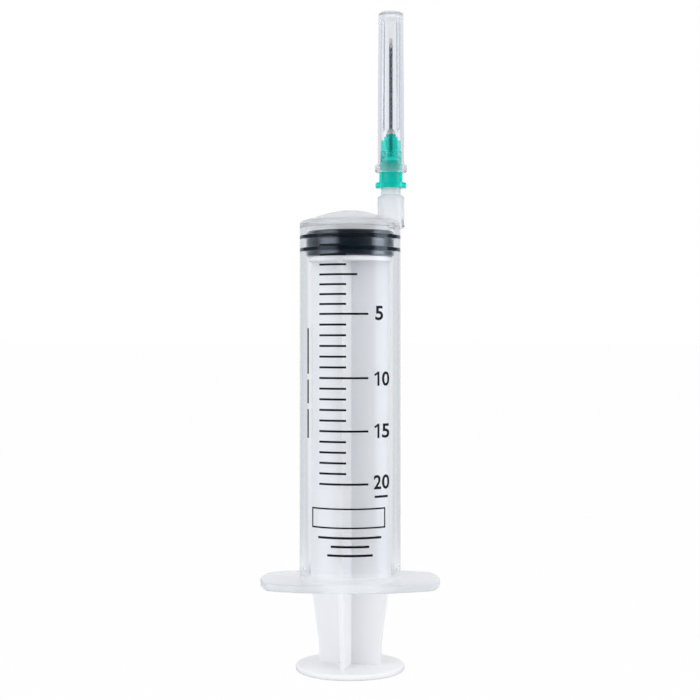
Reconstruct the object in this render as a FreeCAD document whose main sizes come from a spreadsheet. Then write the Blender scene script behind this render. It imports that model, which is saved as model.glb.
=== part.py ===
import FreeCAD, Part
import Sketcher
import math
import os


# Driving dimensions in millimetres and degrees. Each row: name, size, what it sets.
DRIVING_SIZES = [
    # Plunger rod
    ("disc_overhang", 0.85, "thumb disc, how far its rim stands past the barrel's outside"),
    ("disc_thickness", 1.3, "thumb disc, thickness"),
    ("disc_edge_round", 0.5, "thumb disc, rounding of its rim"),
    ("rod_height", 91.25, "floor to the top of the rod's head disc"),
    ("rod_turn", 14.0, "how far the rod is turned in the barrel, clockwise from above, in degrees"),
    ("fin_thickness", 1.0, "stem fin, thickness"),
    ("foot_radius", 7.0, "stem fins, reach from the axis just above the thumb disc"),
    ("foot_height", 4.2, "stem fins, height of the narrow foot above the thumb disc"),
    ("flare_height", 14.5, "stem fins, height of the flare above the foot"),
    ("stem_clearance", 0.4, "stem fins inside the barrel's retention ring"),
    ("head_thickness", 0.95, "head disc, thickness"),
    ("head_clearance", 0.15, "head disc inside the retention ring"),
    ("button_neck_radius", 3.2, "button neck above the head disc, radius"),
    ("button_neck_height", 1.6, "button neck above the head disc, height"),
    ("button_radius", 4.8, "button in the gasket, radius"),
    ("button_height", 2.3, "button in the gasket, height"),
    ("button_chamfer", 1.1, "button in the gasket, lead-in at its top"),
    # Gasket
    ("gasket_height", 5.65, "gasket, bottom to top face"),
    ("gasket_groove_depth", 0.4, "gasket body below the bore"),
    ("gasket_nose_round", 1.1, "gasket, rounding of the front edge"),
    ("gasket_fit", 0.03, "gasket ribs inside the bore, radial running fit"),
    ("gasket_play", 0.1, "gasket round and above the rod's head and button"),
    ("rib_land", 0.85, "sealing rib, height of the face that meets the bore"),
    ("rib_flank", 0.16, "sealing rib, height of each sloping flank"),
    ("rear_rib_height", 1.5, "gasket bottom to the middle of the rear rib"),
    ("rib_pitch", 2.8, "rear rib to front rib"),
    # Barrel
    ("barrel_diameter", 22.4, "barrel, outside diameter"),
    ("barrel_wall", 1.05, "barrel, wall thickness"),
    ("barrel_length", 80.55, "barrel, open end to the corner of its shoulder"),
    ("shoulder_round", 0.9, "barrel shoulder, rounding"),
    ("dome_rise", 2.55, "shoulder corner to the top of the dome"),
    ("dome_round_radius", 5.5, "rounded middle of the dome, radius from the axis"),
    ("dome_round_rise", 0.83, "rounded middle of the dome, height"),
    ("dome_wall", 1.75, "dome, thickness measured upright"),
    ("end_gap", 0.7, "gasket face to the chamber's front corner, plunger home"),
    ("ring_depth", 0.72, "retention ring, how far it stands into the bore"),
    ("ring_width", 1.1, "retention ring, width of its inner face"),
    ("ring_setback", 0.75, "retention ring, distance from the open end"),
    ("ring_slope", 0.75, "retention ring, height of its sloping front"),
    ("mouth_flare", 0.45, "open end, how far the lead-in widens from the ring"),
    # Finger flange
    ("flange_span", 39.8, "flange, end to end"),
    ("flange_ledge", 0.8, "flange, how far it stands past the barrel at the front and back"),
    ("flange_wing_depth", 16.0, "flange, front to back where the wing ends begin"),
    ("flange_wing_inset", 1.7, "flange, corner of the wing short of its end"),
    ("flange_thickness", 1.7, "flange, thickness"),
    ("flange_corner_round", 2.6, "flange, corner rounding seen from above"),
    ("flange_edge_round", 0.4, "flange, rounding of its edges"),
    ("flange_root_round", 0.2, "flange, fillet to the barrel"),
    # Eccentric slip tip
    ("tip_offset", 9.04, "tip axis from the barrel axis"),
    ("collar_radius", 2.97, "collar under the slip cone, radius"),
    ("collar_rise", 5.95, "shoulder corner to the collar's top"),
    ("collar_ledge", 0.05, "collar, flat ledge round the foot of the cone"),
    ("collar_chamfer_height", 0.45, "collar, height of its top chamfer"),
    ("collar_bead_drop", 0.85, "collar bead, how far it hangs below the shoulder corner"),
    ("collar_bead_radius", 0.68, "collar bead, radius of its rounding"),
    ("collar_bead_reach", 0.11, "collar bead, how far it stands out from the collar"),
    ("cone_base_radius", 2.2, "slip cone, radius at its base"),
    ("cone_length", 7.5, "slip cone, length"),
    ("cone_taper", 0.03, "slip cone, radius lost for each millimetre of length"),
    ("passage_radius", 1.7, "fluid passage, radius where it leaves the chamber"),
    ("passage_waist_radius", 1.3, "fluid passage, radius at the foot of the cone"),
    ("cone_bore_radius", 1.1, "fluid passage, radius at the tip of the cone"),
    # Needle hub
    ("hub_seat_height", 1.5, "collar top to the hub's mouth"),
    ("hub_fit", 0.012, "hub socket outside the slip cone, radial fit"),
    ("hub_wall", 0.5, "hub skirt, wall at its mouth"),
    ("hub_flange_radius", 3.45, "hub base flange, reach of its lugs"),
    ("hub_flange_flat", 2.95, "hub base flange, reach of its flats"),
    ("hub_flange_thickness", 1.3, "hub base flange, thickness"),
    ("hub_flange_round", 0.35, "hub base flange, rounding"),
    ("hub_skirt_height", 4.15, "hub mouth to the top of its skirt"),
    ("hub_skirt_draft", 0.1, "hub skirt, radius lost to its top"),
    ("hub_seat_step", 0.07, "step from the skirt to the cap seat"),
    ("hub_cap_seat_height", 1.25, "cap seat, height"),
    ("hub_body_step", 0.15, "step from the cap seat to the body"),
    ("hub_body_height", 2.9, "hub body above the cap seat"),
    ("hub_body_round", 0.3, "hub body, rounding of its top"),
    ("neck_radius", 1.12, "hub neck, radius"),
    ("neck_height", 3.6, "hub neck above the body"),
    ("hub_fin_thickness", 0.42, "hub fin, thickness"),
    ("hub_fin_reach", 2.15, "hub fin, reach of its lower step"),
    ("hub_fin_height", 2.3, "hub fin, height of its lower step above the body"),
    ("hub_fin_inner_reach", 1.5, "hub fin, reach of its upper step"),
    ("hub_fin_inner_height", 3.1, "hub fin, height of its upper step above the body"),
    ("socket_spare", 0.3, "hub socket, depth past the tip of the cone"),
    ("socket_throat_radius", 1.1, "hub socket, radius at the top of its closing cone"),
    ("socket_throat_height", 1.5, "hub socket, height of its closing cone"),
    ("well_radius", 0.8, "adhesive well in the neck, radius at the top"),
    ("well_depth", 0.9, "adhesive well in the neck, depth"),
    # Cannula and adhesive
    ("cannula_radius", 0.41, "cannula, outside radius"),
    ("cannula_bore_radius", 0.26, "cannula, inside radius"),
    ("cannula_fit", 0.01, "cannula in the hub, radial fit"),
    ("cannula_reach", 21.6, "neck top to the cannula's point"),
    ("bevel_length", 2.4, "bevel, length of the ground face"),
    ("lancet_length", 1.3, "bevel, length of the two side grinds"),
    ("lancet_turn", 38.0, "bevel, turn of each side grind in degrees"),
    ("bead_rise", 1.15, "adhesive bead above the neck"),
    ("bead_foot_radius", 0.98, "adhesive bead, radius on the neck"),
    ("bead_top_radius", 0.56, "adhesive bead, radius at its top"),
    ("bead_play", 0.01, "adhesive bead in its well"),
    # Needle cap
    ("cap_fit", 0.05, "cap round the hub's seat, radial fit"),
    ("cap_wall", 0.52, "cap, wall thickness"),
    ("cap_overlap", 0.65, "cap mouth below the top of the hub's skirt"),
    ("cap_point_gap", 4.1, "cannula point to the cap's closed end, inside"),
    ("cap_end_wall", 1.4, "cap, thickness of its closed end"),
    ("cap_end_round", 0.55, "cap, rounding of its closed end"),
    ("cap_draft", 0.15, "cap, radius lost to its closed end"),
    ("cap_draft_height", 18.0, "cap, height of the drafted end"),
    ("cap_rim_reach", 0.62, "cap mouth rim, how far it stands out"),
    ("cap_rim_height", 1.8, "cap mouth rim, height"),
    ("cap_rim_round", 0.4, "cap mouth rim, rounding"),
    ("cap_rib_thickness", 0.36, "cap inner rib, thickness"),
    ("cap_rib_depth", 0.3, "cap inner rib, how far it stands in"),
    ("cap_rib_gap", 0.8, "hub neck top to the foot of the inner ribs"),
]

HUB_FINS = 6
CAP_RIBS = 4
CAP_TURN = 45.0
STEM_BLADES = 2


class Length:
    """A size with its number in millimetres and its formula in the sheet's names."""

    def __init__(self, value, formula):
        self.value = value
        self.formula = formula

    @staticmethod
    def of(thing):
        if isinstance(thing, Length):
            return thing
        return Length(float(thing), repr(float(thing)))

    def __add__(self, other):
        other = Length.of(other)
        return Length(self.value + other.value, f"({self.formula} + {other.formula})")

    def __sub__(self, other):
        other = Length.of(other)
        return Length(self.value - other.value, f"({self.formula} - {other.formula})")

    def __mul__(self, other):
        other = Length.of(other)
        return Length(self.value * other.value, f"({self.formula} * {other.formula})")

    def __truediv__(self, other):
        other = Length.of(other)
        return Length(self.value / other.value, f"({self.formula} / {other.formula})")

    def __neg__(self):
        return Length(-self.value, f"(0 - {self.formula})")

    def root(self):
        return Length(math.sqrt(self.value), f"sqrt({self.formula})")

    __radd__ = __add__
    __rmul__ = __mul__


ZERO = Length(0.0, "0")


class Sizes:
    """The driving dimensions by name, each bound to its cell of the sheet."""

    def __init__(self, document):
        sheet = document.addObject("Spreadsheet::Sheet", "Sizes")
        for row, (name, value, note) in enumerate(DRIVING_SIZES, start=1):
            sheet.set(f"A{row}", note)
            sheet.set(f"B{row}", str(value))
            sheet.setAlias(f"B{row}", name)
            setattr(self, name, Length(value, f"Sizes.{name}"))


class Bend:
    """An arc from one corner of an outline to the next, its centre left or right of the way."""

    def __init__(self, radius, left):
        self.radius = Length.of(radius)
        self.left = left


def bind(feature, path, size):
    feature.setExpression(path, Length.of(size).formula)


def arc_radius(half_chord, rise):
    """Radius of the arc over a chord with the given half length and rise."""
    return (half_chord * half_chord + rise * rise) / (rise * 2)


def origin_plane(body, role):
    for feature in body.Origin.OriginFeatures:
        if feature.Role == role:
            return feature
    raise ValueError(role)


def new_body(document, label):
    body = document.addObject("PartDesign::Body", label)
    body.Label = label
    return body


def new_sketch(body, name, role):
    sketch = body.newObject("Sketcher::SketchObject", name)
    sketch.AttachmentSupport = [(origin_plane(body, role), "")]
    sketch.MapMode = "FlatFace"
    return sketch


def hold_point(sketch, edge, end, x, y):
    """Fix one end of an edge at x, y of the sketch, bound to their formulas."""
    for kind, size, axis in (("DistanceX", x, -2), ("DistanceY", y, -1)):
        if abs(size.value) < 1e-9:
            sketch.addConstraint(Sketcher.Constraint("PointOnObject", edge, end, axis))
        elif size.value > 0:
            index = sketch.addConstraint(Sketcher.Constraint(kind, -1, 1, edge, end, size.value))
            bind(sketch, f"Constraints[{index}]", size)
        else:
            index = sketch.addConstraint(Sketcher.Constraint(kind, edge, end, -1, 1, -size.value))
            bind(sketch, f"Constraints[{index}]", -size)


def arc_edge(start, finish, bend):
    """The arc's geometry, and which of its ends is the start of the way."""
    chord = finish - start
    across = FreeCAD.Vector(-chord.y, chord.x, 0) / chord.Length
    side = 1 if bend.left else -1
    radius = bend.radius.value
    height = math.sqrt(max(radius * radius - chord.Length ** 2 / 4, 0.0))
    centre = (start + finish) / 2 + across * (side * height)
    first, last = (start, finish) if bend.left else (finish, start)
    circle = Part.Circle(centre, FreeCAD.Vector(0, 0, 1), radius)
    begin = math.atan2(first.y - centre.y, first.x - centre.x)
    end = math.atan2(last.y - centre.y, last.x - centre.x)
    if end <= begin:
        end += 2 * math.pi
    return Part.ArcOfCircle(circle, begin, end), (1, 2) if bend.left else (2, 1)


def draw_outline(sketch, corners):
    """Close an outline through the corners. A corner is x, y and, where its edge is an arc, a Bend."""
    places = [(Length.of(corner[0]), Length.of(corner[1])) for corner in corners]
    bends = [corner[2] if len(corner) > 2 else None for corner in corners]
    ends = []
    for index, bend in enumerate(bends):
        x, y = places[index]
        next_x, next_y = places[(index + 1) % len(places)]
        start = FreeCAD.Vector(x.value, y.value, 0)
        finish = FreeCAD.Vector(next_x.value, next_y.value, 0)
        if bend is None:
            edge = sketch.addGeometry(Part.LineSegment(start, finish))
            ends.append((edge, 1, 2))
        else:
            arc, (first, last) = arc_edge(start, finish, bend)
            edge = sketch.addGeometry(arc)
            ends.append((edge, first, last))
            index_radius = sketch.addConstraint(Sketcher.Constraint("Radius", edge, bend.radius.value))
            bind(sketch, f"Constraints[{index_radius}]", bend.radius)
    for index, (edge, first, last) in enumerate(ends):
        next_edge, next_first, _ = ends[(index + 1) % len(ends)]
        sketch.addConstraint(Sketcher.Constraint("Coincident", edge, last, next_edge, next_first))
        hold_point(sketch, edge, first, *places[index])


def draw_circle(sketch, radius):
    radius = Length.of(radius)
    circle = Part.Circle(FreeCAD.Vector(0, 0, 0), FreeCAD.Vector(0, 0, 1), radius.value)
    edge = sketch.addGeometry(circle)
    sketch.addConstraint(Sketcher.Constraint("Coincident", edge, 3, -1, 1))
    index = sketch.addConstraint(Sketcher.Constraint("Radius", edge, radius.value))
    bind(sketch, f"Constraints[{index}]", radius)


def shift_sketch(sketch, axis, size):
    """Move a sketch along one axis of its own plane, bound to a formula."""
    bind(sketch, f"AttachmentOffset.Base.{axis}", size)


def turned_profile(body, kind, name, corners, offset=None):
    """Revolve an upright outline, x as radius and y as height, into or out of the body."""
    sketch = new_sketch(body, f"{name}_outline", "XZ_Plane")
    if offset is not None:
        shift_sketch(sketch, "x", offset)
    draw_outline(sketch, corners)
    feature = body.newObject(f"PartDesign::{kind}", name)
    feature.Profile = sketch
    feature.ReferenceAxis = (sketch, ["V_Axis"])
    feature.Angle = 360.0
    return feature


def upright_plate(body, name, corners, thickness):
    """Pad an upright outline to both sides of its plane."""
    sketch = new_sketch(body, f"{name}_outline", "XZ_Plane")
    draw_outline(sketch, corners)
    pad = body.newObject("PartDesign::Pad", name)
    pad.Profile = sketch
    pad.SideType = "Symmetric"
    bind(pad, "Length", thickness)
    return pad


def level_plate(body, name, corners, height, thickness):
    """Pad a level outline upwards from the given height."""
    sketch = new_sketch(body, f"{name}_outline", "XY_Plane")
    shift_sketch(sketch, "z", height)
    draw_outline(sketch, corners)
    pad = body.newObject("PartDesign::Pad", name)
    pad.Profile = sketch
    bind(pad, "Length", thickness)
    return pad


def ring_pattern(body, name, feature, count, angle=360.0):
    """Repeat a feature round the body's Z axis."""
    body.Document.recompute()
    pattern = body.newObject("PartDesign::PolarPattern", name)
    pattern.Originals = [feature]
    pattern.Axis = (origin_plane(body, "Z_Axis"), [""])
    pattern.Angle = angle
    pattern.Occurrences = count
    body.Tip = pattern
    return pattern


def round_edges(body, name, radius, wanted):
    """Fillet the edges of the body's latest shape that pass the test."""
    body.Document.recompute()
    base = body.Tip
    edges = enumerate(base.Shape.Edges, start=1)
    names = [f"Edge{i}" for i, edge in edges if not edge.Degenerated and wanted(edge)]
    fillet = body.newObject("PartDesign::Fillet", name)
    fillet.Base = (base, names)
    bind(fillet, "Radius", radius)
    return fillet


def is_ring(edge, radius, height, axis_x=0.0):
    """Whether an edge is a level circle, or a piece of one, at this radius and height."""
    curve = edge.Curve
    if not isinstance(curve, Part.Circle):
        return False
    centre = curve.Center
    near = abs(centre.x - axis_x) < 1e-4 and abs(centre.y) < 1e-4 and abs(centre.z - height) < 1e-4
    return near and abs(curve.Radius - radius) < 1e-4 and abs(abs(curve.Axis.z) - 1) < 1e-6


def is_level(edge, height):
    box = edge.BoundBox
    return abs(box.ZMin - height) < 1e-4 and abs(box.ZMax - height) < 1e-4


def is_upright(edge):
    box = edge.BoundBox
    return box.XLength < 1e-4 and box.YLength < 1e-4 and box.ZLength > 1e-3


class Layout:
    """Radii and heights that two or more pieces share, worked out from the driving sizes."""

    def __init__(self, size):
        self.barrel_radius = size.barrel_diameter / 2
        self.bore_radius = self.barrel_radius - size.barrel_wall
        self.ring_radius = self.bore_radius - size.ring_depth
        self.disc_radius = self.barrel_radius + size.disc_overhang
        self.gasket_z = size.rod_height + size.gasket_play
        self.gasket_radius = self.bore_radius - size.gasket_groove_depth
        dome_slope = (size.dome_rise - size.dome_round_rise) / (self.barrel_radius - size.dome_round_radius)
        self.chamber_corner = size.barrel_length + dome_slope * size.barrel_wall - size.dome_wall
        self.barrel_z = self.gasket_z + size.gasket_height + size.end_gap - self.chamber_corner
        self.collar_top = size.barrel_length + size.collar_rise
        self.needle_z = self.barrel_z + self.collar_top + size.hub_seat_height
        self.socket_radius = size.cone_base_radius - size.cone_taper * size.hub_seat_height + size.hub_fit
        self.skirt_radius = self.socket_radius + size.hub_wall
        self.seat_radius = self.skirt_radius - size.hub_skirt_draft - size.hub_seat_step
        self.hub_body_radius = self.seat_radius - size.hub_body_step
        self.seat_top = size.hub_skirt_height + size.hub_cap_seat_height
        self.hub_body_top = self.seat_top + size.hub_body_height
        self.neck_top = self.hub_body_top + size.neck_height
        self.socket_depth = size.cone_length - size.hub_seat_height + size.socket_spare
        self.throat_top = self.socket_depth + size.socket_throat_height
        self.cannula_hole_radius = size.cannula_radius + size.cannula_fit
        self.point_z = self.neck_top + size.cannula_reach


def build_plunger_rod(document, size, layout):
    """One moulding: thumb disc, four flared fins, head disc and the button for the gasket."""
    rod = new_body(document, "plunger_rod")
    turned_profile(rod, "Revolution", "thumb_disc", [
        (ZERO, ZERO),
        (layout.disc_radius, ZERO),
        (layout.disc_radius, size.disc_thickness),
        (ZERO, size.disc_thickness),
    ])
    round_edges(rod, "disc_rim", size.disc_edge_round, lambda edge: isinstance(edge.Curve, Part.Circle))
    stem_radius = layout.ring_radius - size.stem_clearance
    stem_foot = size.disc_thickness / 2
    flare_start = size.disc_thickness + size.foot_height
    flare_end = flare_start + size.flare_height
    head_bottom = size.rod_height - size.head_thickness
    stem_end = head_bottom + size.head_thickness / 2
    blade = upright_plate(rod, "stem_blade", [
        (-size.foot_radius, stem_foot),
        (size.foot_radius, stem_foot),
        (size.foot_radius, flare_start),
        (stem_radius, flare_end),
        (stem_radius, stem_end),
        (-stem_radius, stem_end),
        (-stem_radius, flare_end),
        (-size.foot_radius, flare_start),
    ], size.fin_thickness)
    ring_pattern(rod, "stem_cross", blade, STEM_BLADES, 90.0)
    head_radius = layout.ring_radius - size.head_clearance
    button_bottom = size.rod_height + size.button_neck_height
    button_top = button_bottom + size.button_height
    turned_profile(rod, "Revolution", "head", [
        (ZERO, head_bottom),
        (head_radius, head_bottom),
        (head_radius, size.rod_height),
        (size.button_neck_radius, size.rod_height),
        (size.button_neck_radius, button_bottom),
        (size.button_radius, button_bottom),
        (size.button_radius, button_top - size.button_chamfer),
        (size.button_radius - size.button_chamfer, button_top),
        (ZERO, button_top),
    ])
    clockwise = FreeCAD.Rotation(FreeCAD.Vector(0, 0, -1), size.rod_turn.value)
    rod.Placement = FreeCAD.Placement(FreeCAD.Vector(), clockwise)
    bind(rod, "Placement.Rotation.Angle", size.rod_turn)
    return rod


def build_gasket(document, size, layout):
    """Stopper with two sealing ribs, and a hollow with an undercut for the rod's button."""
    gasket = new_body(document, "gasket")
    body_radius = layout.gasket_radius
    rib_radius = layout.bore_radius - size.gasket_fit
    mouth_radius = size.button_neck_radius + size.gasket_play
    hollow_radius = size.button_radius + size.gasket_play
    hollow_bottom = size.button_neck_height - size.gasket_play * 2
    hollow_top = size.button_neck_height + size.button_height
    corners = [
        (mouth_radius, ZERO),
        (body_radius, ZERO),
    ]
    for rib_middle in (size.rear_rib_height, size.rear_rib_height + size.rib_pitch):
        half_land = size.rib_land / 2
        corners += [
            (body_radius, rib_middle - half_land - size.rib_flank),
            (rib_radius, rib_middle - half_land),
            (rib_radius, rib_middle + half_land),
            (body_radius, rib_middle + half_land + size.rib_flank),
        ]
    corners += [
        (body_radius, size.gasket_height - size.gasket_nose_round, Bend(size.gasket_nose_round, True)),
        (body_radius - size.gasket_nose_round, size.gasket_height),
        (ZERO, size.gasket_height),
        (ZERO, hollow_top),
        (hollow_radius, hollow_top),
        (hollow_radius, hollow_bottom),
        (mouth_radius, hollow_bottom),
    ]
    turned_profile(gasket, "Revolution", "stopper", corners)
    bind(gasket, "Placement.Base.z", layout.gasket_z)
    return gasket


def add_flange(barrel, size, layout):
    """Finger flange with bowed sides and ends, its corners and edges rounded."""
    wing_x = size.flange_span / 2 - size.flange_wing_inset
    wing_y = size.flange_wing_depth / 2
    side_bow = Bend(arc_radius(wing_x, layout.barrel_radius + size.flange_ledge - wing_y), True)
    end_bow = Bend(arc_radius(wing_y, size.flange_wing_inset), True)
    level_plate(barrel, "flange", [
        (-wing_x, -wing_y, side_bow),
        (wing_x, -wing_y, end_bow),
        (wing_x, wing_y, side_bow),
        (-wing_x, wing_y, end_bow),
    ], ZERO, size.flange_thickness)
    round_edges(barrel, "flange_corners", size.flange_corner_round, is_upright)
    outside = layout.barrel_radius.value + size.flange_ledge.value / 2

    def on_rim(edge):
        level = is_level(edge, 0.0) or is_level(edge, size.flange_thickness.value)
        return level and max(math.hypot(v.X, v.Y) for v in edge.Vertexes) > outside

    round_edges(barrel, "flange_rim", size.flange_edge_round, on_rim)
    round_edges(barrel, "flange_root", size.flange_root_round,
                lambda edge: is_ring(edge, layout.barrel_radius.value, size.flange_thickness.value))


def build_barrel(document, size, layout):
    """One moulding: tube with domed front and retention ring, finger flange, eccentric slip tip."""
    barrel = new_body(document, "barrel")
    cone_end = size.barrel_length + size.dome_rise - size.dome_round_rise
    dome_bow = Bend(arc_radius(size.dome_round_radius, size.dome_round_rise), True)
    turned_profile(barrel, "Revolution", "tube", [
        (ZERO, ZERO),
        (layout.barrel_radius, ZERO),
        (layout.barrel_radius, size.barrel_length),
        (size.dome_round_radius, cone_end, dome_bow),
        (ZERO, size.barrel_length + size.dome_rise),
    ])
    round_edges(barrel, "shoulder", size.shoulder_round,
                lambda edge: is_ring(edge, layout.barrel_radius.value, size.barrel_length.value))
    add_flange(barrel, size, layout)

    bead_middle = size.barrel_length - size.collar_bead_drop
    bead_reach = size.collar_radius + size.collar_bead_reach
    cone_top = layout.collar_top + size.cone_length
    turned_profile(barrel, "Revolution", "slip_tip", [
        (ZERO, bead_middle - size.collar_bead_radius),
        (bead_reach - size.collar_bead_radius, bead_middle - size.collar_bead_radius,
         Bend(size.collar_bead_radius, True)),
        (bead_reach, bead_middle),
        (size.collar_radius, bead_middle + size.collar_bead_radius / 2),
        (size.collar_radius, layout.collar_top - size.collar_chamfer_height),
        (size.cone_base_radius + size.collar_ledge, layout.collar_top),
        (size.cone_base_radius, layout.collar_top),
        (size.cone_base_radius - size.cone_taper * size.cone_length, cone_top),
        (ZERO, cone_top),
    ], size.tip_offset)

    ring_start = size.ring_setback
    ring_end = size.ring_setback + size.ring_width
    turned_profile(barrel, "Groove", "chamber", [
        (ZERO, -size.flange_thickness),
        (layout.ring_radius + size.mouth_flare, -size.flange_thickness),
        (layout.ring_radius + size.mouth_flare, ZERO),
        (layout.ring_radius, ring_start),
        (layout.ring_radius, ring_end),
        (layout.bore_radius, ring_end + size.ring_slope),
        (layout.bore_radius, layout.chamber_corner),
        (size.dome_round_radius, cone_end - size.dome_wall, dome_bow),
        (ZERO, size.barrel_length + size.dome_rise - size.dome_wall),
    ])
    turned_profile(barrel, "Groove", "passage", [
        (ZERO, layout.chamber_corner),
        (size.passage_radius, layout.chamber_corner),
        (size.passage_waist_radius, layout.collar_top),
        (size.cone_bore_radius, cone_top),
        (size.cone_bore_radius, cone_top + size.cone_length),
        (ZERO, cone_top + size.cone_length),
    ], size.tip_offset)
    bind(barrel, "Placement.Base.z", layout.barrel_z)
    return barrel


def place_on_tip(body, size, layout):
    """Set a needle piece, drawn from the hub's mouth up, on the eccentric tip."""
    bind(body, "Placement.Base.x", size.tip_offset)
    bind(body, "Placement.Base.z", layout.needle_z)


def build_needle_hub(document, size, layout):
    """One moulding: lugged base, skirt, cap seat, body, neck and stepped fins, with a tapered socket."""
    hub = new_body(document, "needle_hub")
    skirt_top_radius = layout.skirt_radius - size.hub_skirt_draft
    turned_profile(hub, "Revolution", "shell", [
        (ZERO, ZERO),
        (layout.skirt_radius, ZERO),
        (skirt_top_radius, size.hub_skirt_height),
        (layout.seat_radius, size.hub_skirt_height),
        (layout.seat_radius, layout.seat_top),
        (layout.hub_body_radius, layout.seat_top),
        (layout.hub_body_radius, layout.hub_body_top - size.hub_body_round, Bend(size.hub_body_round, True)),
        (layout.hub_body_radius - size.hub_body_round, layout.hub_body_top),
        (size.neck_radius, layout.hub_body_top),
        (size.neck_radius, layout.neck_top),
        (ZERO, layout.neck_top),
    ])
    reach = size.hub_flange_radius
    flat = size.hub_flange_flat
    lug_x = (reach * reach - flat * flat).root()
    lug = Bend(reach, True)
    level_plate(hub, "lugs", [
        (lug_x, -flat, lug),
        (lug_x, flat),
        (-lug_x, flat, lug),
        (-lug_x, -flat),
    ], ZERO, size.hub_flange_thickness)
    outside = (layout.skirt_radius.value + size.hub_flange_flat.value) / 2

    def on_lug_rim(edge):
        level = is_level(edge, 0.0) or is_level(edge, size.hub_flange_thickness.value)
        return level and max(math.hypot(v.X, v.Y) for v in edge.Vertexes) > outside

    round_edges(hub, "lug_rim", size.hub_flange_round, on_lug_rim)
    fin_foot = layout.hub_body_top - size.hub_body_height / 2
    fin_step = layout.hub_body_top + size.hub_fin_height
    fin_top = layout.hub_body_top + size.hub_fin_inner_height
    fin = upright_plate(hub, "fin", [
        (-size.hub_fin_reach, fin_foot),
        (size.hub_fin_reach, fin_foot),
        (size.hub_fin_reach, fin_step),
        (size.hub_fin_inner_reach, fin_step),
        (size.hub_fin_inner_reach, fin_top),
        (-size.hub_fin_inner_reach, fin_top),
        (-size.hub_fin_inner_reach, fin_step),
        (-size.hub_fin_reach, fin_step),
    ], size.hub_fin_thickness)
    blades = HUB_FINS // 2
    ring_pattern(hub, "fins", fin, blades, 180.0 - 180.0 / blades)
    turned_profile(hub, "Groove", "socket", [
        (ZERO, -size.hub_flange_thickness),
        (layout.socket_radius, -size.hub_flange_thickness),
        (layout.socket_radius, ZERO),
        (layout.socket_radius - size.cone_taper * layout.socket_depth, layout.socket_depth),
        (size.socket_throat_radius, layout.throat_top),
        (layout.cannula_hole_radius, layout.throat_top),
        (layout.cannula_hole_radius, layout.neck_top - size.well_depth),
        (size.well_radius, layout.neck_top),
        (size.well_radius, layout.neck_top + size.well_depth),
        (ZERO, layout.neck_top + size.well_depth),
    ])
    place_on_tip(hub, size, layout)
    return hub


def grind(cannula, name, rise, point_reach, turn, size, layout):
    """Cut one sloping face off the tube's end. The face rises by rise over the tube's width, through the point."""
    sketch = new_sketch(cannula, f"{name}_outline", "YZ_Plane")
    sketch.AttachmentOffset = FreeCAD.Placement(
        FreeCAD.Vector(), FreeCAD.Rotation(FreeCAD.Vector(0, 1, 0), turn))
    far = size.cannula_radius * 2
    slope = rise / (size.cannula_radius * 2)
    low = layout.point_z - slope * (far + point_reach)
    high = layout.point_z + slope * (far - point_reach)
    draw_outline(sketch, [(-far, low), (far, high), (-far, high)])
    pocket = cannula.newObject("PartDesign::Pocket", name)
    pocket.Profile = sketch
    pocket.SideType = "Symmetric"
    bind(pocket, "Length", far * 2)


def build_cannula(document, size, layout):
    """Tube with a ground bevel that faces the front, and two side grinds that sharpen its point."""
    cannula = new_body(document, "cannula")
    foot = layout.throat_top + size.cannula_fit
    sketch = new_sketch(cannula, "tube_section", "XY_Plane")
    shift_sketch(sketch, "z", foot)
    draw_circle(sketch, size.cannula_radius)
    draw_circle(sketch, size.cannula_bore_radius)
    tube = cannula.newObject("PartDesign::Pad", "tube")
    tube.Profile = sketch
    bind(tube, "Length", layout.point_z - foot)
    grind(cannula, "bevel", size.bevel_length, size.cannula_radius, 0.0, size, layout)
    turn = size.lancet_turn.value
    side_reach = size.cannula_radius * math.cos(math.radians(turn))
    grind(cannula, "left_lancet", size.lancet_length, side_reach, turn, size, layout)
    grind(cannula, "right_lancet", size.lancet_length, side_reach, -turn, size, layout)
    place_on_tip(cannula, size, layout)
    return cannula


def build_adhesive_bead(document, size, layout):
    """Collar of set adhesive: it fills the neck's well and climbs the cannula."""
    bead = new_body(document, "adhesive_bead")
    bore = size.cannula_radius + size.bead_play
    top = layout.neck_top + size.bead_rise
    side = Bend(size.bead_rise * 1.4, True)
    turned_profile(bead, "Revolution", "collar", [
        (bore, layout.neck_top - size.well_depth + size.bead_play * 4),
        (size.well_radius - size.bead_play * 2, layout.neck_top),
        (size.well_radius - size.bead_play * 2, layout.neck_top + size.bead_play),
        (size.bead_foot_radius, layout.neck_top + size.bead_play, side),
        (size.bead_top_radius, top),
        (bore, top),
    ])
    place_on_tip(bead, size, layout)
    return bead


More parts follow.
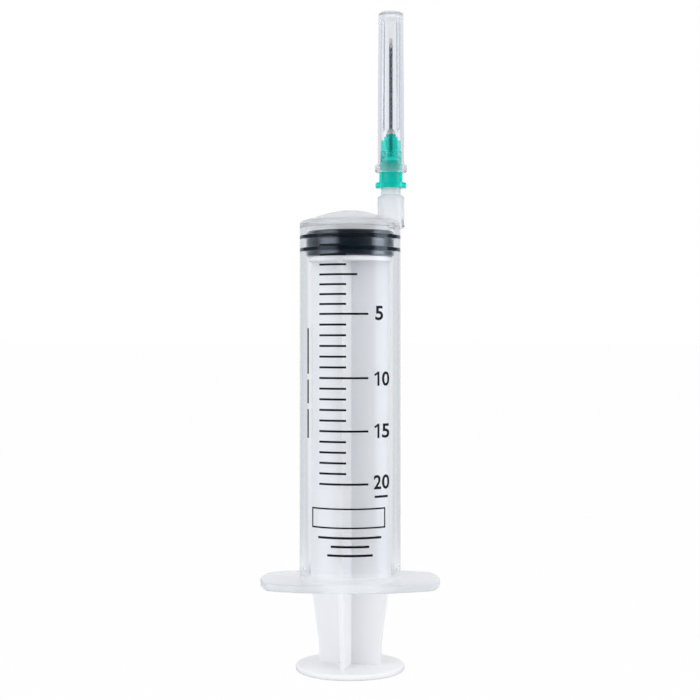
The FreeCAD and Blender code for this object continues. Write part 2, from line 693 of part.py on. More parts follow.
def build_needle_cap(document, size, layout):
    """Sheath with a stepped seat for the hub, a rim at its mouth, a drafted closed end and inner ribs."""
    cap = new_body(document, "needle_cap")
    mouth = size.hub_skirt_height - size.cap_overlap
    skirt_radius = layout.skirt_radius - size.hub_skirt_draft * mouth / size.hub_skirt_height
    counterbore = skirt_radius + size.cap_fit
    seat_bore = layout.seat_radius + size.cap_fit
    bore = layout.hub_body_radius + size.cap_fit
    outer = bore + size.cap_wall
    rim_radius = outer + size.cap_rim_reach
    rim_top = mouth + size.cap_rim_height
    inner_end = layout.point_z + size.cap_point_gap
    outer_end = inner_end + size.cap_end_wall
    draft_start = outer_end - size.cap_draft_height
    rim_bend = Bend(size.cap_rim_round, True)
    turned_profile(cap, "Revolution", "sheath", [
        (counterbore, mouth),
        (rim_radius - size.cap_rim_round, mouth, rim_bend),
        (rim_radius, mouth + size.cap_rim_round),
        (rim_radius, rim_top - size.cap_rim_round, rim_bend),
        (rim_radius - size.cap_rim_round, rim_top),
        (outer, rim_top),
        (outer, draft_start),
        (outer - size.cap_draft, outer_end - size.cap_end_round, Bend(size.cap_end_round, True)),
        (outer - size.cap_draft - size.cap_end_round, outer_end),
        (ZERO, outer_end),
        (ZERO, inner_end),
        (bore - size.cap_draft, inner_end),
        (bore, draft_start),
        (bore, layout.seat_top + size.cap_fit),
        (seat_bore, layout.seat_top + size.cap_fit),
        (seat_bore, size.hub_skirt_height + size.cap_fit),
        (counterbore, size.hub_skirt_height + size.cap_fit),
    ])
    rib_root = bore - size.cap_draft + size.cap_wall / 2
    rib_face = bore - size.cap_rib_depth
    rib_foot = layout.neck_top + size.cap_rib_gap
    rib = upright_plate(cap, "rib", [
        (rib_face, rib_foot + size.cap_rib_depth * 2),
        (rib_root, rib_foot),
        (rib_root, inner_end + size.cap_end_wall / 2),
        (rib_face, inner_end + size.cap_end_wall / 2),
    ], size.cap_rib_thickness)
    ring_pattern(cap, "ribs", rib, CAP_RIBS)
    cap.Placement = FreeCAD.Placement(FreeCAD.Vector(), FreeCAD.Rotation(FreeCAD.Vector(0, 0, 1), CAP_TURN))
    place_on_tip(cap, size, layout)
    return cap


def check_document(document, pieces):
    """Stop if any object failed, or a piece isn't one valid solid."""
    for feature in document.Objects:
        if "Invalid" in feature.State or "Error" in feature.State:
            raise RuntimeError(f"{feature.Label} failed: {feature.State}")
    for piece in pieces:
        shape = piece.Shape
        if shape.isNull() or not shape.isValid() or len(shape.Solids) != 1:
            raise RuntimeError(f"{piece.Label} is not one valid solid")
        box = shape.BoundBox
        print(f"{piece.Label}: {shape.Volume:.3f} mm3, z {box.ZMin:.3f} to {box.ZMax:.3f}, "
              f"x {box.XMin:.3f} to {box.XMax:.3f}")


def main():
    document = FreeCAD.newDocument("syringe")
    size = Sizes(document)
    document.recompute()
    layout = Layout(size)
    pieces = [
        build_plunger_rod(document, size, layout),
        build_gasket(document, size, layout),
        build_barrel(document, size, layout),
        build_needle_hub(document, size, layout),
        build_cannula(document, size, layout),
        build_adhesive_bead(document, size, layout),
        build_needle_cap(document, size, layout),
    ]
    document.recompute()
    check_document(document, pieces)
    os.makedirs("parts", exist_ok=True)
    for piece in pieces:
        piece.Shape.exportStep(f"parts/{piece.Label}.step")


main()
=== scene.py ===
"""Finishes, printed scale, studio and camera of a 20 mL slip-tip syringe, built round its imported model."""

import logging
import math
from dataclasses import dataclass
from enum import Enum
from typing import Callable, Iterable, Sequence

import bmesh
import bpy
from mathutils import Euler, Matrix, Vector


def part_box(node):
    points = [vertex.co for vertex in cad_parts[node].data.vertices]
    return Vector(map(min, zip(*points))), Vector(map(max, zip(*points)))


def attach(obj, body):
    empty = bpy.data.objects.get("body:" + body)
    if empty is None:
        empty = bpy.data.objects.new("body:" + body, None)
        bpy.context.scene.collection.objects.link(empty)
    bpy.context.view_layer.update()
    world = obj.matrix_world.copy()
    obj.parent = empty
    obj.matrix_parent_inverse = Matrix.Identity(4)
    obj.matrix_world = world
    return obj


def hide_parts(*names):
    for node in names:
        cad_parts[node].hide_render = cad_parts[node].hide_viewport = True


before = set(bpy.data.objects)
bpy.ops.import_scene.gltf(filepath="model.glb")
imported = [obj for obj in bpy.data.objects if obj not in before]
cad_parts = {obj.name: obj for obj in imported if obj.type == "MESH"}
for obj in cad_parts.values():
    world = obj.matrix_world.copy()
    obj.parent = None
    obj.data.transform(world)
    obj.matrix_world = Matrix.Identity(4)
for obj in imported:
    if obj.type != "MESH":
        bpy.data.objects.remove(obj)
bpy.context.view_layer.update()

MM = 0.001
WELD = 0.002 * MM
SLIVER = WELD / 4
LOG = logging.getLogger("syringe")

Colour = tuple[float, float, float]
Triple = tuple[float, float, float]
Span = tuple[float, float]

WHITE: Colour = (1.0, 1.0, 1.0)
FLOW_EDGE: Span = (0.3, 0.7)
MIX_FIRST = 6
MIX_SECOND = 7
MIX_RESULT = 2


class Slot(Enum):
    """The record's material slots."""

    ROD = "white_plastic"
    RUBBER = "black_rubber"
    BARREL = "clear_plastic"
    HUB = "green_plastic"
    STEEL = "needle_steel"
    ADHESIVE = "clear_adhesive"
    CAP = "cap_plastic"


class Body(Enum):
    """The bodies that the joints move."""

    PLUNGER = "plunger"
    STOPPER = "stopper"
    BARREL = "barrel"
    NEEDLE = "needle"
    CAP = "cap"


@dataclass(frozen=True)
class Grain:
    """A soft noise: features in a metre, octaves, weight of the finer ones, and stretch along each axis."""

    scale: float
    detail: float = 2.0
    roughness: float = 0.5
    stretch: Triple = (1.0, 1.0, 1.0)


class Signal:
    """A number in a shader. Each operator on it adds one Math node."""

    def __init__(self, bench: "NodeBench", socket: bpy.types.NodeSocket) -> None:
        """Wrap a socket.

        Args:
            bench: The bench whose tree holds the socket.
            socket: The output socket with the number.
        """
        self.bench = bench
        self.socket = socket

    def _math(self, operation: str, *values: "Signal | float") -> "Signal":
        """One Math node on these values."""
        node = self.bench.add("ShaderNodeMath", {"operation": operation}, dict(enumerate(values)))
        return Signal(self.bench, node.outputs[0])

    def __add__(self, other: "Signal | float") -> "Signal":
        """Sum."""
        return self._math("ADD", self, other)

    def __sub__(self, other: "Signal | float") -> "Signal":
        """Difference."""
        return self._math("SUBTRACT", self, other)

    def __rsub__(self, other: "Signal | float") -> "Signal":
        """Difference from a number."""
        return self._math("SUBTRACT", other, self)

    def __mul__(self, other: "Signal | float") -> "Signal":
        """Product."""
        return self._math("MULTIPLY", self, other)

    def highest(self, other: "Signal | float") -> "Signal":
        """The larger of two values."""
        return self._math("MAXIMUM", self, other)

    def lowest(self, other: "Signal | float") -> "Signal":
        """The smaller of two values."""
        return self._math("MINIMUM", self, other)

    def ramped(self, low: float, high: float) -> "Signal":
        """A smooth step from 0 at low to 1 at high."""
        inputs = {"Value": self, "From Min": low, "From Max": high}
        node = self.bench.add("ShaderNodeMapRange", {"interpolation_type": "SMOOTHSTEP"}, inputs)
        return Signal(self.bench, node.outputs["Result"])

    def ramped_mm(self, span: Span) -> "Signal":
        """A smooth step between two lengths in millimetres, of a length in metres."""
        return self.ramped(*(length * MM for length in span))

    __radd__ = __add__
    __rmul__ = __mul__


class NodeBench:
    """Builds the nodes of one material or of the world."""

    def __init__(self, owner: bpy.types.Material | bpy.types.World) -> None:
        """Clear the owner's node tree.

        Args:
            owner: The material or world to build.
        """
        owner.use_nodes = True
        self.tree = owner.node_tree
        self.tree.nodes.clear()

    def add(self, kind: str, settings: dict[str, object] | None = None,
            inputs: dict[str | int, object] | None = None) -> bpy.types.Node:
        """Add a node: its settings first, then the values or links of its sockets.

        Args:
            kind: The node's type.
            settings: Properties of the node. A ramp's stops are pairs of place and colour.
            inputs: Values, signals or sockets for its inputs, by name or number.

        Returns:
            The new node.
        """
        node = self.tree.nodes.new(kind)
        for name, value in (settings or {}).items():
            if name == "stops":
                self._set_stops(node.color_ramp, value)
            else:
                setattr(node, name, value)
        for name, value in (inputs or {}).items():
            source = value.socket if isinstance(value, Signal) else value
            if isinstance(source, bpy.types.NodeSocket):
                self.tree.links.new(source, node.inputs[name])
            else:
                node.inputs[name].default_value = source
        return node

    @staticmethod
    def _set_stops(ramp: bpy.types.ColorRamp, stops: Sequence[tuple[float, Colour]]) -> None:
        """Give a ramp its stops.

        Args:
            ramp: The new ramp of a node.
            stops: Place from 0 to 1 and colour of each stop.
        """
        while len(ramp.elements) < len(stops):
            ramp.elements.new(1.0)
        for element, (place, colour) in zip(ramp.elements, stops):
            element.position = place
            element.color = (*colour, 1.0)

    def signal(self, node: bpy.types.Node, output: str | int = 0) -> Signal:
        """A node's output as a signal."""
        return Signal(self, node.outputs[output])

    def vector(self, operation: str, *values: object) -> bpy.types.Node:
        """One Vector Math node on these vectors."""
        return self.add("ShaderNodeVectorMath", {"operation": operation}, dict(enumerate(values)))

    def object_point(self, stretch: Triple = (1.0, 1.0, 1.0)) -> bpy.types.NodeSocket:
        """The point on the piece in metres, stretched along each axis."""
        place = self.add("ShaderNodeTexCoord").outputs["Object"]
        return self.add("ShaderNodeMapping", {}, {"Vector": place, "Scale": stretch}).outputs["Vector"]

    def height(self) -> Signal:
        """The point's height in metres."""
        return self.signal(self.add("ShaderNodeSeparateXYZ", {}, {0: self.object_point()}), "Z")

    def reach(self, axis_x: float = 0.0) -> Signal:
        """The point's distance in metres from an upright axis at this X in millimetres."""
        level = self.object_point((1.0, 1.0, 0.0))
        return self.signal(self.vector("DISTANCE", level, (axis_x * MM, 0.0, 0.0)), "Value")

    def noise(self, grain: Grain) -> Signal:
        """Soft noise from 0 to 1."""
        inputs = {
            "Vector": self.object_point(grain.stretch),
            "Scale": grain.scale,
            "Detail": grain.detail,
            "Roughness": grain.roughness,
        }
        return self.signal(self.add("ShaderNodeTexNoise", {}, inputs), "Fac")

    def blend(self, share: Signal, first: Colour | bpy.types.NodeSocket,
              second: Colour | bpy.types.NodeSocket) -> bpy.types.NodeSocket:
        """A colour between two.

        Args:
            share: 0 for the first, 1 for the second.
            first: A colour, or a socket with one.
            second: Another.

        Returns:
            The socket with the colour.
        """
        ends = [(*end, 1.0) if isinstance(end, tuple) else end for end in (first, second)]
        inputs = {"Factor": share, MIX_FIRST: ends[0], MIX_SECOND: ends[1]}
        return self.add("ShaderNodeMix", {"data_type": "RGBA"}, inputs).outputs[MIX_RESULT]

    def bump(self, height: Signal, depth: float, strength: float = 1.0) -> bpy.types.NodeSocket:
        """A normal from a height.

        Args:
            height: The height, from 0 to 1.
            depth: What a height of 1 is, in millimetres.
            strength: Share of the effect.

        Returns:
            The socket with the normal.
        """
        inputs = {"Height": height, "Distance": depth * MM, "Strength": strength}
        return self.add("ShaderNodeBump", {}, inputs).outputs[0]

    def principled(self, inputs: dict[str, object]) -> bpy.types.NodeSocket:
        """A Principled shader with these inputs."""
        return self.add("ShaderNodeBsdfPrincipled", {}, inputs).outputs[0]

    def mix(self, share: Signal | bpy.types.NodeSocket, first: bpy.types.NodeSocket,
            second: bpy.types.NodeSocket) -> bpy.types.NodeSocket:
        """A shader between two, by a share from 0 to 1."""
        return self.add("ShaderNodeMixShader", {}, {0: share, 1: first, 2: second}).outputs[0]

    def finish(self, shader: bpy.types.NodeSocket, kind: str = "ShaderNodeOutputMaterial",
               volume: bpy.types.NodeSocket | None = None) -> None:
        """Join a shader to the output.

        Args:
            shader: The shader of the surface.
            kind: The output node's type.
            volume: The shader of the volume, where there is one.
        """
        inputs = {"Surface": shader}
        if volume is not None:
            inputs["Volume"] = volume
        self.add(kind, {}, inputs)


@dataclass(frozen=True)
class Finish:
    """A finish, made of nodes when it is built."""

    name: str

    def build(self) -> bpy.types.Material:
        """Make the material.

        Returns:
            The material.
        """
        material = bpy.data.materials.new(self.name)
        self.dress(NodeBench(material))
        return material

    def dress(self, bench: NodeBench) -> None:
        """Add the finish's nodes. Each kind of finish has its own."""
        raise NotImplementedError


@dataclass(frozen=True)
class ClearMoulding(Finish):
    """Clear polypropylene with faint flow marks, matt and milky towards its ends, with a grey shade painted
    into its tint above a height.

    Each pair of heights, in millimetres, is where such a change starts and ends on the piece.
    """

    tint: Colour = (0.985, 0.988, 0.995)
    ior: float = 1.49
    roughness: float = 0.03
    uneven: float = 0.008
    flow: Grain = Grain(320.0, 3.0, 0.55, (1.0, 1.0, 0.22))
    flow_shade: float = 0.97
    flow_depth: float = 0.0004
    grain: Grain = Grain(4200.0, 1.0)
    grain_share: float = 0.12
    absorbed: Colour = (0.62, 0.66, 0.70)
    density: float = 8.0
    matt_above: Span = (97.2, 98.8)
    matt_below: Span = (20.6, 23.5)
    matt: float = 0.20
    milk_above: float = 0.32
    milk_below: float = 0.38
    milk: Colour = (0.82, 0.84, 0.88)
    milk_roughness: float = 0.35
    # Painted shade: the tint turns greyer between these heights and above them.
    painted_shade_above: Span = (101.6, 102.4)
    painted_shade_tint: Colour = (0.885, 0.895, 0.91)
    light_passed: Colour = (0.985, 0.99, 0.995)

    def dress(self, bench: NodeBench) -> None:
        """Add the finish's nodes.

        Args:
            bench: The bench of the new material.
        """
        flow = bench.noise(self.flow)
        grain = bench.noise(self.grain)
        height = bench.height()
        above = height.ramped_mm(self.matt_above)
        below = 1 - height.ramped_mm(self.matt_below)
        # Painted shade: a greyer base colour above a height, standing in for the tip's shading.
        painted_shade = height.ramped_mm(self.painted_shade_above)
        tint = bench.blend(flow, tuple(self.flow_shade * c for c in self.tint), self.tint)
        roughness = self.roughness + self.uneven * flow + self.uneven * grain
        shader = bench.principled({
            "Base Color": bench.blend(painted_shade, tint, self.painted_shade_tint),
            "Roughness": roughness + self.matt * (above + below),
            "IOR": self.ior,
            "Transmission Weight": 1.0,
            "Normal": bench.bump(flow + self.grain_share * grain, self.flow_depth),
        })
        milky = bench.principled({
            "Base Color": (*self.milk, 1.0),
            "Roughness": self.milk_roughness,
            "IOR": self.ior,
        })
        shader = bench.mix(self.milk_above * above + self.milk_below * below, shader, milky)
        path = bench.add("ShaderNodeLightPath")
        clear = bench.add("ShaderNodeBsdfTransparent", {}, {"Color": (*self.light_passed, 1.0)}).outputs[0]
        for ray in ("Is Shadow Ray", "Is Diffuse Ray"):
            shader = bench.mix(path.outputs[ray], shader, clear)
        inside = {"Color": (*self.absorbed, 1.0), "Density": self.density}
        volume = bench.add("ShaderNodeVolumeAbsorption", {}, inside)
        bench.finish(shader, volume=volume.outputs[0])


@dataclass(frozen=True)
class SatinMoulding(Finish):
    """Opaque white polypropylene with a fine spark-eroded satin."""

    colour: Colour = (0.85, 0.86, 0.88)
    shade: Colour = (0.825, 0.835, 0.86)
    ior: float = 1.49
    roughness: float = 0.34
    flow: Grain = Grain(140.0, 3.0, 0.5, (1.0, 1.0, 0.4))
    flow_polish: float = 0.04
    satin: Grain = Grain(6500.0, 2.0, 0.6)
    satin_roughness: float = 0.10
    satin_depth: float = 0.004
    satin_strength: float = 0.6
    glow: float = 0.25
    glow_reach: Triple = (1.0, 0.95, 0.9)
    glow_depth: float = 0.6

    def dress(self, bench: NodeBench) -> None:
        """Add the finish's nodes.

        Args:
            bench: The bench of the new material.
        """
        flow = bench.noise(self.flow)
        satin = bench.noise(self.satin)
        bench.finish(bench.principled({
            "Base Color": bench.blend(flow.ramped(*FLOW_EDGE), self.shade, self.colour),
            "Roughness": self.roughness + self.satin_roughness * satin - self.flow_polish * flow,
            "IOR": self.ior,
            "Subsurface Weight": self.glow,
            "Subsurface Radius": self.glow_reach,
            "Subsurface Scale": self.glow_depth * MM,
            "Normal": bench.bump(satin, self.satin_depth, self.satin_strength),
        }))


@dataclass(frozen=True)
class OiledRubber(Finish):
    """Black stopper rubber under a film of silicone oil, flat black where the ribs press on the wall."""

    colour: Colour = (0.0010, 0.0045, 0.011)
    worn: Colour = (0.003, 0.009, 0.018)
    ior: float = 1.6
    shine: float = 0.8
    roughness: float = 0.10
    mottle: Grain = Grain(900.0, 3.0, 0.6)
    mottle_roughness: float = 0.10
    mottle_depth: float = 0.006
    mottle_strength: float = 0.7
    film: Grain = Grain(260.0, 2.0, 0.5, (1.0, 1.0, 2.5))
    film_edge: Span = (0.35, 0.65)
    film_share: float = 0.5
    film_roughness: float = 0.06
    film_ior: float = 1.5
    pressed: Colour = (0.0010, 0.0050, 0.0090)
    pressed_radius: Span = (9.95, 10.10)
    pressed_roughness: float = 0.2
    pressed_shine: float = 0.12

    def dress(self, bench: NodeBench) -> None:
        """Add the finish's nodes.

        Args:
            bench: The bench of the new material.
        """
        mottle = bench.noise(self.mottle)
        film = bench.noise(self.film)
        pressed_share = bench.reach().ramped_mm(self.pressed_radius)
        oiled = bench.principled({
            "Base Color": bench.blend(mottle, self.colour, self.worn),
            "Roughness": self.roughness + self.mottle_roughness * mottle,
            "IOR": self.ior,
            "Specular IOR Level": self.shine,
            "Coat Weight": self.film_share + (1 - self.film_share) * film.ramped(*self.film_edge),
            "Coat Roughness": self.film_roughness,
            "Coat IOR": self.film_ior,
            "Normal": bench.bump(mottle, self.mottle_depth, self.mottle_strength),
        })
        pressed = bench.principled({
            "Base Color": (*self.pressed, 1.0),
            "Roughness": self.pressed_roughness,
            "IOR": self.ior,
            "Specular IOR Level": self.pressed_shine,
        })
        bench.finish(bench.mix(pressed_share, oiled, pressed))


@dataclass(frozen=True)
class DyedMoulding(Finish):
    """Translucent dyed polypropylene of the needle's hub."""

    colour: Colour = (0.008, 0.94, 0.79)
    pale: Colour = (0.03, 0.975, 0.87)
    clear_share: float = 0.84
    ior: float = 1.40
    roughness: float = 0.07
    flow: Grain = Grain(700.0, 2.0, 0.5, (1.0, 1.0, 0.35))
    flow_roughness: float = 0.06
    flow_depth: float = 0.004
    flow_strength: float = 0.5

    def dress(self, bench: NodeBench) -> None:
        """Add the finish's nodes.

        Args:
            bench: The bench of the new material.
        """
        flow = bench.noise(self.flow)
        bench.finish(bench.principled({
            "Base Color": bench.blend(flow.ramped(*FLOW_EDGE), self.colour, self.pale),
            "Roughness": self.roughness + self.flow_roughness * flow,
            "IOR": self.ior,
            "Transmission Weight": self.clear_share,
            "Normal": bench.bump(flow, self.flow_depth, self.flow_strength),
        }))


@dataclass(frozen=True)
class DrawnSteel(Finish):
    """Stainless tube, drawn lengthways, duller on its bevel and in the bore's mouth, which are also painted
    a pale colour as a highlight.

    Both lie above ground_from, in millimetres. The bevel is told by its facing, the bore by its radius.
    """

    colour: Colour = (0.30, 0.31, 0.33)
    streak: Colour = (0.42, 0.43, 0.45)
    roughness: float = 0.14
    drawn: Grain = Grain(9000.0, 3.0, 0.6, (1.0, 1.0, 0.04))
    drawn_roughness: float = 0.06
    drawn_depth: float = 0.002
    drawn_strength: float = 0.12
    pale_painted_highlight: Colour = (0.66, 0.67, 0.69)
    ground_roughness: float = 0.20
    ground_dulling: float = 0.7
    ground_way: Triple = (0.0, -0.946, 0.324)
    ground_facing: Span = (0.93, 0.98)
    ground_from: float = 137.5
    ground_fade: float = 0.1
    axis_x: float = 9.04
    bore_edge: Span = (0.265, 0.30)

    def dress(self, bench: NodeBench) -> None:
        """Add the finish's nodes.

        Args:
            bench: The bench of the new material.
        """
        drawn = bench.noise(self.drawn)
        normal = bench.add("ShaderNodeTexCoord").outputs["Normal"]
        facing = bench.signal(bench.vector("DOT_PRODUCT", normal, self.ground_way), "Value")
        above = bench.height().ramped_mm((self.ground_from, self.ground_from + self.ground_fade))
        in_bore = 1 - bench.reach(self.axis_x).ramped_mm(self.bore_edge)
        share = facing.ramped(*self.ground_facing).highest(in_bore) * above
        drawn_colour = bench.blend(drawn, self.colour, self.streak)
        # On the bevel and in the bore's mouth the rougher finish is real, and the pale, less metallic colour
        # is a painted highlight.
        bench.finish(bench.principled({
            "Base Color": bench.blend(share, drawn_colour, self.pale_painted_highlight),
            "Metallic": 1 - self.ground_dulling * share,
            "Roughness": self.roughness + self.drawn_roughness * drawn + self.ground_roughness * share,
            "Normal": bench.bump(drawn, self.drawn_depth, self.drawn_strength),
        }))


@dataclass(frozen=True)
class SetAdhesive(Finish):
    """Clear adhesive, set with a slightly uneven skin."""

    tint: Colour = (0.86, 0.93, 0.91)
    shade: float = 0.95
    clear_share: float = 0.7
    ior: float = 1.5
    roughness: float = 0.08
    skin: Grain = Grain(1500.0, 2.0)
    skin_roughness: float = 0.10
    skin_depth: float = 0.01
    skin_strength: float = 0.6

    def dress(self, bench: NodeBench) -> None:
        """Add the finish's nodes.

        Args:
            bench: The bench of the new material.
        """
        skin = bench.noise(self.skin)
        bench.finish(bench.principled({
            "Base Color": bench.blend(skin, tuple(self.shade * c for c in self.tint), self.tint),
            "Roughness": self.roughness + self.skin_roughness * skin,
            "IOR": self.ior,
            "Transmission Weight": self.clear_share,
            "Normal": bench.bump(skin, self.skin_depth, self.skin_strength),
        }))


@dataclass(frozen=True)
class ScreenInk(Finish):
    """Black screen-printing ink with a fine grain."""

    colour: Colour = (0.004, 0.004, 0.005)
    thin: Colour = (0.012, 0.012, 0.013)
    thin_edge: Span = (0.45, 0.8)
    shine: float = 0.25
    roughness: float = 0.42
    grain: Grain = Grain(5200.0, 2.0, 0.6)
    grain_roughness: float = 0.2
    grain_depth: float = 0.003
    grain_strength: float = 0.5

    def dress(self, bench: NodeBench) -> None:
        """Add the finish's nodes.

        Args:
            bench: The bench of the new material.
        """
        grain = bench.noise(self.grain)
        bench.finish(bench.principled({
            "Base Color": bench.blend(grain.ramped(*self.thin_edge), self.colour, self.thin),
            "Roughness": self.roughness + self.grain_roughness * grain,
            "Specular IOR Level": self.shine,
            "Normal": bench.bump(grain, self.grain_depth, self.grain_strength),
        }))


def cad_copy(node: str) -> bmesh.types.BMesh:
    """A copy of a CAD node's mesh, its doubles merged.

    Args:
        node: The node's name.

    Returns:
        The copy.
    """
    mesh = bmesh.new()
    mesh.from_mesh(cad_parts[node].data)
    merge_doubles(mesh)
    return mesh


def merge_doubles(mesh: bmesh.types.BMesh) -> None:
    """Merge vertices that lie together and dissolve what has no area."""
    bmesh.ops.remove_doubles(mesh, verts=mesh.verts, dist=WELD)
    bmesh.ops.dissolve_degenerate(mesh, edges=mesh.edges, dist=SLIVER)


def lathe(profile: Sequence[Span], steps: int) -> bmesh.types.BMesh:
    """Turn a closed outline of radii and heights, in millimetres, about the Z axis.

    Args:
        profile: The outline's corners in order.
        steps: Facets round a full turn.

    Returns:
        The turned mesh, its faces outwards.
    """
    mesh = bmesh.new()
    corners = [mesh.verts.new((radius * MM, 0.0, height * MM)) for radius, height in profile]
    sides = [mesh.edges.new(pair) for pair in zip(corners, corners[1:] + corners[:1])]
    bmesh.ops.spin(mesh, geom=corners + sides, cent=(0, 0, 0), axis=(0, 0, 1), dvec=(0, 0, 0),
                   angle=2 * math.pi, steps=steps, use_merge=True)
    merge_doubles(mesh)
    bmesh.ops.recalc_face_normals(mesh, faces=mesh.faces)
    return mesh


def cut_level(mesh: bmesh.types.BMesh, place: Triple, way: Triple, slack: float) -> None:
    """Cut everything along a plane through a place, square to a way."""
    everything = mesh.verts[:] + mesh.edges[:] + mesh.faces[:]
    bmesh.ops.bisect_plane(mesh, geom=everything, dist=slack, plane_co=place, plane_no=way)


def bevel(mesh: bmesh.types.BMesh, edges: Iterable[bmesh.types.BMEdge], width: float, segments: int) -> None:
    """Round edges by a width in millimetres."""
    bmesh.ops.bevel(mesh, geom=list(edges), offset=width * MM, offset_type="OFFSET", segments=segments,
                    profile=0.5, affect="EDGES", material=-1, clamp_overlap=True)


def round_rings(mesh: bmesh.types.BMesh, rings: Sequence[Span], width: float, segments: int,
                slack: float = 0.002) -> None:
    """Round the turned edges at these radii and heights.

    Args:
        mesh: A turned mesh about the Z axis.
        rings: Radius and height of each ring, in millimetres.
        width: Rounding, in millimetres.
        segments: Facets across the rounding.
        slack: How far from its ring an edge may lie, in millimetres.
    """
    def on_ring(edge: bmesh.types.BMEdge) -> bool:
        """Whether both ends lie on one of the rings."""
        places = [(math.hypot(v.co.x, v.co.y) / MM, v.co.z / MM) for v in edge.verts]
        return any(all(math.dist(place, ring) < slack for place in places) for ring in rings)

    bevel(mesh, [edge for edge in mesh.edges if on_ring(edge)], width, segments)


def smooth(mesh: bmesh.types.BMesh, sharp_angle: float = 32.0) -> None:
    """Shade smooth, with sharp edges kept crisp.

    Args:
        mesh: The mesh.
        sharp_angle: From how many degrees on an edge stays crisp.
    """
    limit = math.radians(sharp_angle)
    for face in mesh.faces:
        face.smooth = True
    for edge in mesh.edges:
        edge.smooth = not edge.is_manifold or edge.calc_face_angle(0.0) < limit


@dataclass(frozen=True)
class Fitting:
    """Where a finished mesh belongs: its name, body, slot, and the CAD node that it stands for."""

    name: str
    body: Body
    slot: Slot
    node: str | None = None
    weighted: bool = True

    def mount(self, mesh: bmesh.types.BMesh, material: bpy.types.Material) -> bpy.types.Object:
        """Make the object from its mesh and fix it to its body.

        Args:
            mesh: The finished mesh, in place. It is freed.
            material: Its finish.

        Returns:
            The new object.
        """
        data = bpy.data.meshes.new(self.name)
        mesh.to_mesh(data)
        mesh.free()
        data.materials.append(material)
        piece = bpy.data.objects.new(self.name, data)
        bpy.context.scene.collection.objects.link(piece)
        if self.weighted:
            normals = piece.modifiers.new("weighted_normals", "WEIGHTED_NORMAL")
            normals.keep_sharp = True
            normals.weight = 100
        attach(piece, self.body.value)
        if self.node is not None:
            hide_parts(self.node)
        LOG.info("%s: %d faces on %s", self.name, len(data.polygons), self.body.value)
        return piece


@dataclass
class PlungerRod:
    """The white rod: disc, fins, head and button, with its edges eased as a mould leaves them."""

    crisp_angle: float = 40.0
    edge_round: float = 0.14
    edge_segments: int = 2
    flat_angle: float = 0.4
    finish: SatinMoulding = SatinMoulding("satin_white")

    def build(self) -> bpy.types.Object:
        """Make the rod from the CAD node.

        Returns:
            The rod.
        """
        mesh = cad_copy("plunger_rod")
        bmesh.ops.dissolve_limit(mesh, angle_limit=math.radians(self.flat_angle), verts=mesh.verts,
                                 edges=mesh.edges)
        limit = math.radians(self.crisp_angle)
        crisp = [edge for edge in mesh.edges if edge.is_manifold and edge.calc_face_angle(0.0) > limit]
        bevel(mesh, crisp, self.edge_round, self.edge_segments)
        smooth(mesh)
        fitting = Fitting("rod_moulding", Body.PLUNGER, Slot.ROD, "plunger_rod")
        return fitting.mount(mesh, self.finish.build())


@dataclass
class Gasket:
    """The stopper. Its ribs press into the bore, so that they show through the wall at full width."""

    body_radius: float = 9.75
    rib_radius: float = 10.175
    rib_land: float = 0.85
    rib_flank: float = 0.16
    rib_heights: Span = (1.5, 4.3)
    rib_round: float = 0.12
    height: float = 5.65
    nose_round: float = 1.1
    nose_segments: int = 6
    foot_round: float = 0.25
    small_segments: int = 3
    mouth_radius: float = 3.3
    hollow_radius: float = 4.9
    hollow_bottom: float = 1.4
    hollow_top: float = 3.9
    facets: int = 144
    sharp_angle: float = 40.0
    finish: OiledRubber = OiledRubber("oiled_rubber")

    def build(self) -> bpy.types.Object:
        """Turn the stopper and round its ribs.

        Returns:
            The stopper.
        """
        profile = [(self.mouth_radius, 0.0), (self.body_radius, 0.0)]
        crests = []
        for middle in self.rib_heights:
            low = middle - self.rib_land / 2
            high = middle + self.rib_land / 2
            crest = [(self.rib_radius, low), (self.rib_radius, high)]
            roots = [(self.body_radius, low - self.rib_flank), (self.body_radius, high + self.rib_flank)]
            profile += [roots[0], *crest, roots[1]]
            crests += crest
        profile += [
            (self.body_radius, self.height),
            (0.0, self.height),
            (0.0, self.hollow_top),
            (self.hollow_radius, self.hollow_top),
            (self.hollow_radius, self.hollow_bottom),
            (self.mouth_radius, self.hollow_bottom),
        ]
        mesh = lathe(profile, self.facets)
        round_rings(mesh, crests, self.rib_round, self.small_segments)
        round_rings(mesh, [(self.body_radius, self.height)], self.nose_round, self.nose_segments)
        round_rings(mesh, [(self.body_radius, 0.0)], self.foot_round, self.small_segments)
        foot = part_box("gasket")[0].z
        bmesh.ops.translate(mesh, verts=mesh.verts, vec=(0, 0, foot))
        smooth(mesh, self.sharp_angle)
        fitting = Fitting("gasket_stopper", Body.STOPPER, Slot.RUBBER, "gasket")
        return fitting.mount(mesh, self.finish.build())


